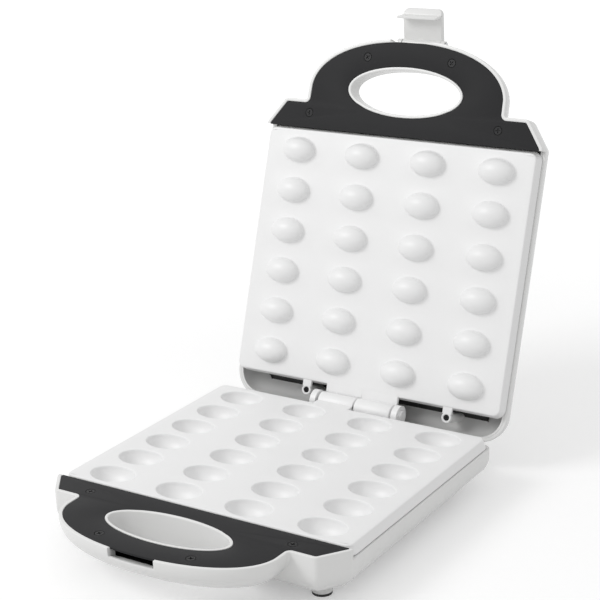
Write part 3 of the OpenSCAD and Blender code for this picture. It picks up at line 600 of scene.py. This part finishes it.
def plate_outline(grow, count_x, count_y):
    """Rounded rectangle with its points crowded towards the corners' arcs."""
    x, y0, y1, r = PLATE_HALF + grow, PLATE_FRONT - grow, PLATE_BACK + grow, PLATE_R + grow
    sides = [((x, y0), (x, y1), count_y), ((x, y1), (-x, y1), count_x),
             ((-x, y1), (-x, y0), count_y), ((-x, y0), (x, y0), count_x)]
    rings = []
    for a, b, n in sides:
        t = np.arange(n) / n
        t = (t - CROWDING * np.sin(2 * math.pi * t) / (2 * math.pi))[:, None]
        rings.append(np.array(a) * (1 - t) + np.array(b) * t)
    ring = np.concatenate(rings)
    mid = np.array([0, (y0 + y1) / 2])
    inner = np.array([x - r, (y1 - y0) / 2 - r])
    rel = ring - mid
    over = np.maximum(np.abs(rel) - inner, 0)
    both = (over > 0).all(1)
    length = np.hypot(over[:, 0], over[:, 1])
    arc = np.sign(rel) * (inner + over / np.maximum(length, 1e-9)[:, None] * r)
    return np.where(both[:, None], mid + arc, ring)


def plate(nut, back, sign, extra):
    """Cells on the face, a border that runs over the rounded edge, down the flared skirt and
    under, and cells on the back. nut and back are each (a, b, depth, fillet)."""
    xs = np.concatenate([[-CELLS_X], COL_PITCH * (np.arange(3) - 1), [CELLS_X]])
    ys = np.concatenate([[-CELLS_Y], ROW_PITCH * (np.arange(5) - 2), [CELLS_Y]])
    cells = [(cx, cy, (xs[i], xs[i + 1], ys[j], ys[j + 1]))
             for i, cx in enumerate(COLUMNS) for j, cy in enumerate(ROWS)]
    parts = [nut_cell(*cell, *nut, sign) for cell in cells]
    for points, quads in [nut_cell(*cell, *back, sign, -PLATE_T) for cell in cells]:
        parts.append((points, quads[:, ::-1]))
    up = np.concatenate([ys[j] + (ys[j + 1] - ys[j]) * np.arange(SIDE_Y) / SIDE_Y
                         for j in range(6)])
    across = np.concatenate([xs[i] + (xs[i + 1] - xs[i]) * np.arange(SIDE_X) / SIDE_X
                             for i in range(4)])
    ups, acrosses = np.append(up, ys[-1]), np.append(across, xs[-1])
    border = np.concatenate([
        np.column_stack([np.full(len(up), xs[-1]), ups[:-1]]),
        np.column_stack([acrosses[:0:-1], np.full(len(across), ys[-1])]),
        np.column_stack([np.full(len(up), xs[0]), ups[:0:-1]]),
        np.column_stack([acrosses[:-1], np.full(len(across), ys[0])])])
    levels = [np.column_stack([border, np.zeros(len(border))])]

    def level(grow, z):
        xy = plate_outline(grow, len(across), len(up))
        levels.append(np.column_stack([xy, np.full(len(xy), z)]))

    for c, s in zip(*quarter(PLATE_EDGE, 7)):
        level(s - PLATE_EDGE, c - PLATE_EDGE)
    level(SKIRT_FLARE - 0.1, -SKIRT_H + 0.4)
    level(SKIRT_FLARE - 0.4, -SKIRT_H)
    level(SKIRT_FLARE - SKIRT_T, -SKIRT_H)
    level(-2.0, -PLATE_T)
    levels.append(np.column_stack([border, np.full(len(border), -PLATE_T)]))
    parts.append((np.concatenate(levels), grid_faces(len(levels), len(border))[:, ::-1]))
    return [stacked(parts)] + extra


# %% Hinge knuckles, webs and tabs
def knuckle(x0, x1, z):
    """Hinge barrel with its bore: a ring-shaped section turned about the hinge axis."""
    r, bore, f = 8.0, 2.55, 0.8
    prof = [(bore, x0), (r - f, x0), (r - 0.2, x0 + 0.25), (r, x0 + f), (r, x1 - f),
            (r - 0.2, x1 - 0.25), (r - f, x1), (bore, x1)]
    return lathe(prof, (0, HINGE_Y, z), "x", 64)


def web(x0, x1, front_y, back_y):
    """A flat bridge from inside the plate's back edge towards the hinge barrel."""
    return box_part(x0, x1, front_y, back_y, -3, -0.02, 0.4)


def tab(x):
    """A screw tab behind the upper plate: a ring with a countersink, and the arm it is on."""
    return [lathe([(1.6, -3), (3.9, -3), (4.2, -2.7), (4.2, -0.8), (3.8, -0.4), (2.9, -0.4),
                   (2.5, -0.8), (2.5, -2), (1.6, -2)], (x, TABS_Y, 0)),
            box_part(x - 4.0, x + 4.0, 101.2, 108.4, -3, -0.5, 0.3)]


# %% Both plates
CAVITY, CUP = (18, 13, 13, 1.0), (20.1, 15.2, 12.5, 0.8)  # half axes, depth, fillet
DOME, HOLLOW = (15, 10, 10, 1.5), (11.4, 6.8, 10.5, 0.5)
posts = [lathe([(1.5, -20.9), (3.7, -20.9), (4, -20.6), (4, -2.8), (1.5, -2.8)], (x, y, 0))
         for x, y in POSTS]
make_piece(
    "lower_plate",
    plate(CAVITY, CUP, -1, posts + [knuckle(-33, -0.5, HINGE_Z), web(-33, -0.5, 100.2, 117)]),
    "base", "lower_baking_plate", "plate_coating", sharp=40)
make_piece(
    "upper_plate",
    plate(DOME, HOLLOW, 1, [
        knuckle(0.5, 33, PLATE_GAP - HINGE_Z), web(0.5, 33, 101.2, 117),
        web(-33, 0.6, 101.2, 109.4)] + [part for x in TABS_X for part in tab(x)]),
    "lid", "upper_baking_plate", "plate_coating", sharp=40)

# %% [markdown]
# ## The handle trims
#
# Each handle is faced with a flat dark sheet that sits in the casing's lip. A filled curve with a
# bevel would do, but it would not follow the lip point for point. So the sheet is a ring between
# the shared outline and the finger hole, with edges rounded by half a millimetre, and a Boolean
# sinks the four screw seats into it, as a drill would.

# %% Trims
TRIM_TOP, TRIM_UNDER, TRIM_EDGE = -0.3, -1.9, 0.45
SCREW_SPOTS = [(38, -164.7), (-38, -164.7), (85.7, -115.5), (-85.7, -115.5)]


def trim_ring():
    """Section carried round the ring: top, outer edge, underside, inner edge."""
    home = trim_outline(0)
    angles = finger_angles(home)
    top, bottom, f = TRIM_TOP, TRIM_UNDER, TRIM_EDGE
    levels = []

    def outer(k, z):
        levels.append(np.column_stack([trim_outline(k, DECK_Y - k), np.full(len(home), z)]))

    def inner(grow, z):
        levels.append(np.column_stack([finger_ring(grow, angles), np.full(len(home), z)]))

    inner(0.3, bottom)
    outer(-0.3, bottom)
    outer(0, bottom + 0.3)
    for c, s in zip(*quarter(f)):
        outer(c - f, top - f + s)
    for c, s in zip(*quarter(f)):
        inner(f - s, top - f + c)
    inner(0, bottom + 0.3)
    return np.concatenate(levels), grid_faces(len(levels), len(home), close_rows=True)


def sunk_seats(piece, body):
    """Cuts the screw seats with one Boolean and keeps the mesh that is left."""
    seat = [(0.01, -1.75), (3.4, -1.75), (3.4, -0.7), (3.9, -0.2), (3.9, 1), (0.01, 1)]
    parts = [lathe(seat, (x, y, 0), count=32) for x, y in SCREW_SPOTS]
    cores = make_object("seat_cores", [(placed(points, body), quads) for points, quads in parts])
    piece.data = cut_out(piece, cores)
    piece.data.shade_smooth()
    piece.data.set_sharp_from_angle(angle=math.radians(30))
    print(piece.name, "with seats:", len(piece.data.polygons), "faces")


lower_trim = make_piece("lower_trim", [trim_ring()], "base", "lower_handle_trim", "trim_dark")
upper_trim = make_piece("upper_trim", [trim_ring()], "lid", "upper_handle_trim", "trim_dark")
sunk_seats(lower_trim, "base")
sunk_seats(upper_trim, "lid")

# %% [markdown]
# ## The latch
#
# The latch is a moulded strip that hangs from a pin in front of both handles, with a hook plate
# that reaches under the lower trim and a narrower tab for a fingertip. A bevelled extrusion would
# round every edge alike, and the real strip is rounder outside than inside. So the strip and the
# hook are stacks of rings: each ring is the outline moved in a little, and the steps between
# rings follow a quarter round, which is what gives the moulded edges their highlight.

# %% The latch's strip
LATCH_HALF, LATCH_IN, LATCH_OUT, LATCH_TOP = 17.25, -0.9, -LATCH_DEEP, 3.3
TAB_HALF, TAB_TOP, TAB_END, TAB_LEAN = 13.05, -23.6, -28.0, 3
INNER_R, OUTER_R, TOP_R = 0.5, 1.8, 3  # rounds of the edges inside, outside and at the top


def strip_ring(k, top_k):
    """The strip from the front, moved in by k, and by top_k at its top: a straight top and
    sides, then quarter ellipses down to the narrower finger tab. Columns are x and z."""
    w = np.radians(np.linspace(-90, 0, 13))
    side, top = LATCH_HALF - k, LATCH_TOP - top_k
    return both_halves(np.concatenate([
        straight((0, TAB_END + k), (TAB_HALF - 1, TAB_END + k), 6),
        np.stack([TAB_HALF + (LATCH_HALF - TAB_HALF - k) * np.cos(w),
                  TAB_TOP + (TAB_TOP - TAB_END - k) * np.sin(w)], 1),
        straight((side, TAB_TOP + 1), (side, top - 0.8), 14),
        straight((side - 0.25, top - 0.25), (0, top), 8)]))


def strip():
    """The strip's rings from its inner face, round both edges, to its outer face."""
    levels = []

    def level(k, top_k, y, lean=1.0):
        ring = strip_ring(k, top_k)
        slope = -TAB_LEAN * np.clip((TAB_TOP - ring[:, 1]) / (TAB_TOP - TAB_END), 0, 1)
        levels.append(np.column_stack([ring[:, 0], y + lean * slope, ring[:, 1]]))

    for t in np.radians(np.linspace(0, 90, 6)):
        level(INNER_R * (1 - math.sin(t)), 0.2, LATCH_IN - INNER_R * (1 - math.cos(t)))
    near_top = np.clip((strip_ring(0, 0)[:, 1] + TOP_R) / (LATCH_TOP + TOP_R), 0, 1) ** 2
    for t in np.radians(np.linspace(0, 90, 10)):
        level(OUTER_R * (1 - math.cos(t)), TOP_R * (1 - math.cos(t)),
              LATCH_OUT + (OUTER_R + (TOP_R - OUTER_R) * near_top) * (1 - math.sin(t)), 0.0)
    count = len(levels[0])
    last = (len(levels) - 1) * count
    return np.concatenate(levels), np.concatenate([
        grid_faces(len(levels), count), strip_cap(0, count)[:, ::-1], strip_cap(last, count)])


# %% The hook plate
def hook():
    """The hook plate: its flared outline, stacked through the thickness with rounded edges.
    Each step moves the ring in by k, as a share of its half width and half depth."""
    tip = np.array([[0, 9.5], [9, 9.5], [16.6, 9.5], [17.4, 9.3], [17.9, 8.7], [18.2, 7.9],
                    [18.1, 7.0], [17.6, 6.0], [17.25, 5.1], [17.25, 2], [17.25, -1.9],
                    [9, -1.9], [0, -1.9]])
    mid_y, half_x, half_y = 3.8, 18, 5.7
    ring, levels = both_halves(tip), []
    for k, z in [(0.6, -23.6), (0.3, -23.55), (0.08, -23.4), (0, -23.1), (0, -22.3), (0.08, -22.0),
                 (0.3, -21.85), (0.6, -21.8)]:
        levels.append(np.column_stack([ring[:, 0] * (1 - k / half_x),
                                       mid_y + (ring[:, 1] - mid_y) * (1 - k / half_y),
                                       np.full(len(ring), z)]))
    count = len(ring)
    return np.concatenate(levels), np.concatenate([
        grid_faces(len(levels), count), strip_cap(0, count)[:, ::-1],
        strip_cap((len(levels) - 1) * count, count)])


# %% Latch
barrel = lathe([(1.6, -17.2), (2.9, -17.25), (3.3, -16.85), (3.3, 16.85), (2.9, 17.25),
                (1.6, 17.2)], (0, 0, 0), "x")
make_piece("latch_strip", [
    (points + [0, LATCH_Y, LATCH_Z], quads)
    for points, quads in (barrel, strip(), hook(), box_part(-17.2, 17.2, -2, 0, -1, 3.25, 0.2))],
    "latch", "latch", "casing_white", sharp=40)

# %% [markdown]
# ## Finishes
#
# Four finishes do most of the work: glossy white ABS on the casings, a white non-stick coat on
# the plates, a dark satin sheet on the handles and zinc-plated steel on clips, clamps and small
# screws. A flat colour would look like paper, and a scanned image would bring its own scale. So
# each finish has a fine bump and a faint change of gloss, in Object coordinates, and the grain
# has its real size in mm on every piece. One small function adds a node with its settings.

# %% Nodes and one finish
def linear(hex_code):
    """sRGB hex to linear: c / 12.92 below 0.04045, else ((c + 0.055) / 1.055) ^ 2.4."""
    c = np.array([int(hex_code[i:i + 2], 16) for i in (1, 3, 5)]) / 255
    return (*np.where(c <= 0.04045, c / 12.92, ((c + 0.055) / 1.055) ** 2.4).tolist(), 1.0)


def add(tree, kind, links=(), **settings):
    """Adds one node, sets its inputs or properties by name and links (socket, source) pairs."""
    node = tree.nodes.new(kind)
    for key, value in settings.items():
        if key in node.inputs:
            node.inputs[key].default_value = value
        else:
            setattr(node, key, value)
    for socket, source in links:
        tree.links.new(source, node.inputs[socket])
    return node


BUMP_STRENGTH, MOTTLE_GRAINS = 0.35, 12  # a patch of the mottle is this many grains wide


def finish(name, colour, roughness, grain_mm, grain_height, metallic=0.0, mottle=0.0, ior=1.5):
    """A Principled surface with a fine bump, whose grain and height are in mm, and a mottle of
    its roughness by plus or minus mottle."""
    mat = bpy.data.materials.new(name)
    mat.use_nodes = True
    tree = mat.node_tree
    shader = tree.nodes["Principled BSDF"]
    shader.inputs["Base Color"].default_value = linear(colour)
    shader.inputs["Roughness"].default_value = roughness
    shader.inputs["Metallic"].default_value = metallic
    if not metallic:
        shader.inputs["IOR"].default_value = ior
    where = add(tree, "ShaderNodeTexCoord").outputs["Object"]
    noise = add(tree, "ShaderNodeTexNoise", [("Vector", where)], Scale=1000 / grain_mm, Detail=3.0)
    bump = add(tree, "ShaderNodeBump", [("Height", noise.outputs["Fac"])],
               Strength=BUMP_STRENGTH, Distance=grain_height / 1000)
    tree.links.new(bump.outputs["Normal"], shader.inputs["Normal"])
    if mottle:
        wide = add(tree, "ShaderNodeTexNoise", [("Vector", where)],
                   Scale=1000 / (grain_mm * MOTTLE_GRAINS), Detail=4.0)
        spread = add(tree, "ShaderNodeMapRange", [("Value", wide.outputs["Fac"])])
        spread.inputs["To Min"].default_value = roughness - mottle
        spread.inputs["To Max"].default_value = roughness + mottle
        tree.links.new(spread.outputs["Result"], shader.inputs["Roughness"])
    return mat


# %% The finishes: name, colour, roughness, grain and grain height
MATERIALS = {
    "casing_white": finish("abs_glossy_white", "#E6E6E5", 0.26, 1.0, 0.004, mottle=0.02),
    "plate_coating": finish("ceramic_coat_on_cast_aluminium", "#EFEFEF", 0.38, 1.4, 0.008,
                            mottle=0.03),
    "trim_dark": finish("satin_black_steel_sheet", "#303031", 0.42, 0.8, 0.004, mottle=0.03,
                        ior=1.15),
    "screw_dark": finish("blackened_steel", "#1C1C1D", 0.4, 0.6, 0.01, metallic=0.6),
    "steel": finish("zinc_plated_steel", "#B9BABC", 0.28, 0.8, 0.01, metallic=1.0, mottle=0.06),
    "reflector_metal": finish("aluminised_sheet", "#C9CACB", 0.3, 2.5, 0.03, metallic=1.0,
                              mottle=0.08),
    "element_sheath": finish("oxidised_heater_sheath", "#5A5652", 0.5, 1.0, 0.03, metallic=0.8,
                             mottle=0.08),
    "ceramic": finish("glazed_ceramic", "#D9CDB4", 0.35, 1.2, 0.02, mottle=0.05),
    "wire_sleeve": finish("silicone_sleeve", "#8E2A20", 0.55, 0.6, 0.01),
    "board_green": finish("glass_epoxy_board", "#2B6A40", 0.4, 0.8, 0.01),
    # real rubber on the feet; on the bulkhead behind the upper plate the same black is painted
    # shade
    "rubber_black": finish("moulded_rubber", "#232323", 0.6, 0.9, 0.03, mottle=0.05),
    "lens_red": finish("red_polycarbonate", "#C8201A", 0.12, 3, 0.005),
    "lens_green": finish("green_polycarbonate", "#2FA84A", 0.12, 3, 0.005),
}
slots = {row["node"]: row["material_slot"] for row in frame["record"]["subparts"]}
for thing, slot in [(node, slots[name]) for name, node in frame["nodes"].items()] + dressed:
    thing.data.materials.clear()
    thing.data.materials.append(MATERIALS[slot])
print(len(MATERIALS), "finishes on", len(slots), "nodes and", len(dressed), "new pieces")

# %% [markdown]
# ## The latch's pocket
#
# Behind the notch in the lower lip is a pocket for the hook, and no light gets to its back wall.
# A separate dark piece could stand there, but it would meet the white walls in the same plane. So
# the lower casing gets a copy of its own finish, in which a mask in Object coordinates mixes in a
# dark colour between two corners: painted shade on the pocket's back wall.

# %% Painted shade on the back wall of the latch pocket
def inside_box(tree, low, high):
    """1 between two corners in the drawing's mm, else 0. Each axis is compared with the middle."""
    axes = add(tree, "ShaderNodeSeparateXYZ", [
        ("Vector", add(tree, "ShaderNodeTexCoord").outputs["Object"])])
    shift, gate = (0, -MID_Y, STAND_H), None  # from the drawing to where the part stands
    for axis, a, b, d in zip("XYZ", low, high, shift):
        near = add(tree, "ShaderNodeMath", [(0, axes.outputs[axis])], operation="COMPARE")
        near.inputs[1].default_value = ((a + b) / 2 + d) / 1000
        near.inputs[2].default_value = (b - a) / 2000
        gate = near.outputs[0] if gate is None else add(
            tree, "ShaderNodeMath", [(0, gate), (1, near.outputs[0])],
            operation="MULTIPLY").outputs[0]
    return gate


painted_pocket_shade = MATERIALS["casing_white"].copy()
painted_pocket_shade.name = "abs_glossy_white_with_painted_pocket_shade"
tree = painted_pocket_shade.node_tree
shader = tree.nodes["Principled BSDF"]
pocket_shade_mask = inside_box(tree, (-18.8, -173, -8.6), (18.8, -160, -2.0))
shade = add(tree, "ShaderNodeMix", [("Factor", pocket_shade_mask)], data_type="RGBA")
MIX_A, MIX_B, MIX_RESULT = 6, 7, 2  # the Mix node's colour sockets
shade.inputs[MIX_A].default_value = shader.inputs["Base Color"].default_value
# the near-black colour of the painted shade in the pocket
shade.inputs[MIX_B].default_value = linear("#161616")
tree.links.new(shade.outputs[MIX_RESULT], shader.inputs["Base Color"])
lower_casing.data.materials[0] = painted_pocket_shade
print(lower_casing.name, "wears", painted_pocket_shade.name)

# %% [markdown]
# ## Floor and light
#
# A pale floor catches the shadow, a white world wraps the object in even light, and one large
# soft lamp in front and above gives the domes and rims their shape. Several lamps would give
# crossing shadows, and a white world alone gives none. The background has to look pure white, but
# that much light would wash the shadows out. So floor and world give it only to rays that come
# from the camera, off a mirror or through glass.

# %% Floor
def seen_directly(tree):
    """1 for rays from the camera, off a mirror or through glass, and 0 for light that bounces."""
    path = add(tree, "ShaderNodeLightPath")
    either = add(tree, "ShaderNodeMath", [(0, path.outputs["Is Camera Ray"]),
                                          (1, path.outputs["Is Glossy Ray"])], operation="MAXIMUM")
    return add(tree, "ShaderNodeMath", [(0, either.outputs[0]),
                                        (1, path.outputs["Is Transmission Ray"])],
               operation="MAXIMUM").outputs[0]


FLOOR_HALF = 9  # metres
floor_mesh = bpy.data.meshes.new("floor")
floor_mesh.from_pydata([(x * FLOOR_HALF, y * FLOOR_HALF, 0) for x, y in
                        ((-1, -1), (1, -1), (1, 1), (-1, 1))], [], [(0, 1, 2, 3)])
floor = bpy.data.objects.new("floor", floor_mesh)
bpy.context.scene.collection.objects.link(floor)
floor_mat = bpy.data.materials.new("white_paper_floor")
floor_mat.use_nodes = True
tree = floor_mat.node_tree
paper = tree.nodes["Principled BSDF"]
paper.inputs["Base Color"].default_value = linear("#E4E4E4")
paper.inputs["Roughness"].default_value = 0.9
paper.inputs["Specular IOR Level"].default_value = 0.0
distance = add(tree, "ShaderNodeVectorMath", [
    (0, add(tree, "ShaderNodeTexCoord").outputs["Object"])], operation="LENGTH")
lift = add(tree, "ShaderNodeMapRange", [("Value", distance.outputs["Value"])])
for socket, value in (("From Min", 0.35), ("From Max", 1.6), ("To Min", 0.30), ("To Max", 0.55)):
    lift.inputs[socket].default_value = value
glow = add(tree, "ShaderNodeMath", [(0, lift.outputs[0]), (1, seen_directly(tree))],
           operation="MULTIPLY")
paper.inputs["Emission Color"].default_value = linear("#FFFFFF")
tree.links.new(glow.outputs[0], paper.inputs["Emission Strength"])
floor.data.materials.append(floor_mat)
print("floor:", 2 * FLOOR_HALF, "m wide, with", len(tree.nodes), "nodes in its finish")

# %% World
world = bpy.data.worlds.new("studio")
bpy.context.scene.world = world
world.use_nodes = True
tree = world.node_tree
for node in list(tree.nodes):
    tree.nodes.remove(node)
soft = add(tree, "ShaderNodeBackground", Color=linear("#FFFFFF"), Strength=0.72)
white = add(tree, "ShaderNodeBackground", Color=linear("#FFFFFF"), Strength=1.0)
mix = add(tree, "ShaderNodeMixShader", [(0, seen_directly(tree)), (1, soft.outputs[0]),
                                        (2, white.outputs[0])])
add(tree, "ShaderNodeOutputWorld", [("Surface", mix.outputs[0])])
print("world light:", soft.inputs["Strength"].default_value, "of white")


# %% Lamp
def softbox(name, place, target, size, power):
    """A square area lamp at place, turned to look at target."""
    lamp = bpy.data.lights.new(name, "AREA")
    lamp.shape, lamp.size, lamp.energy = "SQUARE", size, power
    obj = bpy.data.objects.new(name, lamp)
    bpy.context.scene.collection.objects.link(obj)
    to = np.array(target, float) - np.array(place, float)
    obj.location = place
    yaw, pitch = math.atan2(to[1], to[0]), math.asin(to[2] / np.linalg.norm(to))
    obj.rotation_euler = (math.pi / 2 + pitch, 0, yaw - math.pi / 2)
    print(name, power, "W,", size, "m square")


softbox("key_softbox", (-1.15, -1.3, 1.5), (0, 0, 0.1), 0.9, 16)

# %% [markdown]
# ## The camera
#
# The lens is long, so that the lid hardly narrows towards its top, and the camera leans a little
# about its own axis. A Track To constraint couldn't give that lean. So the three axes are worked
# out from azimuth, elevation and roll: look, right and up, and together they are its rotation.

# %% Camera
EYE = (606.5, -912.6, 483.9)  # on the drawing, in mm
FOCAL_PX, RENDER_PX, SENSOR_MM = 1597.6, 600, 36.0
azimuth, elevation, roll = (math.radians(a) for a in (32.574, 18.286, -1.783))
camera_data = bpy.data.cameras.new("camera")
camera_data.sensor_width, camera_data.lens = SENSOR_MM, FOCAL_PX / RENDER_PX * SENSOR_MM
camera_data.clip_start, camera_data.clip_end = 0.05, 20
camera = bpy.data.objects.new("camera", camera_data)
bpy.context.scene.collection.objects.link(camera)
camera.location = placed([EYE], "base")[0]
camera.rotation_mode = "QUATERNION"
look = -Vector((math.sin(azimuth) * math.cos(elevation),
                -math.cos(azimuth) * math.cos(elevation), math.sin(elevation)))
flat_right = Vector((math.cos(azimuth), math.sin(azimuth), 0))
flat_up = flat_right.cross(look)
right = math.cos(roll) * flat_right + math.sin(roll) * flat_up
up = -math.sin(roll) * flat_right + math.cos(roll) * flat_up
camera.rotation_quaternion = Matrix((right, up, -look)).transposed().to_quaternion()
bpy.context.scene.camera = camera
bpy.context.scene.view_settings.view_transform = "Standard"
print("camera at", [round(v, 3) for v in camera.location], "m,", round(camera_data.lens, 1), "mm")
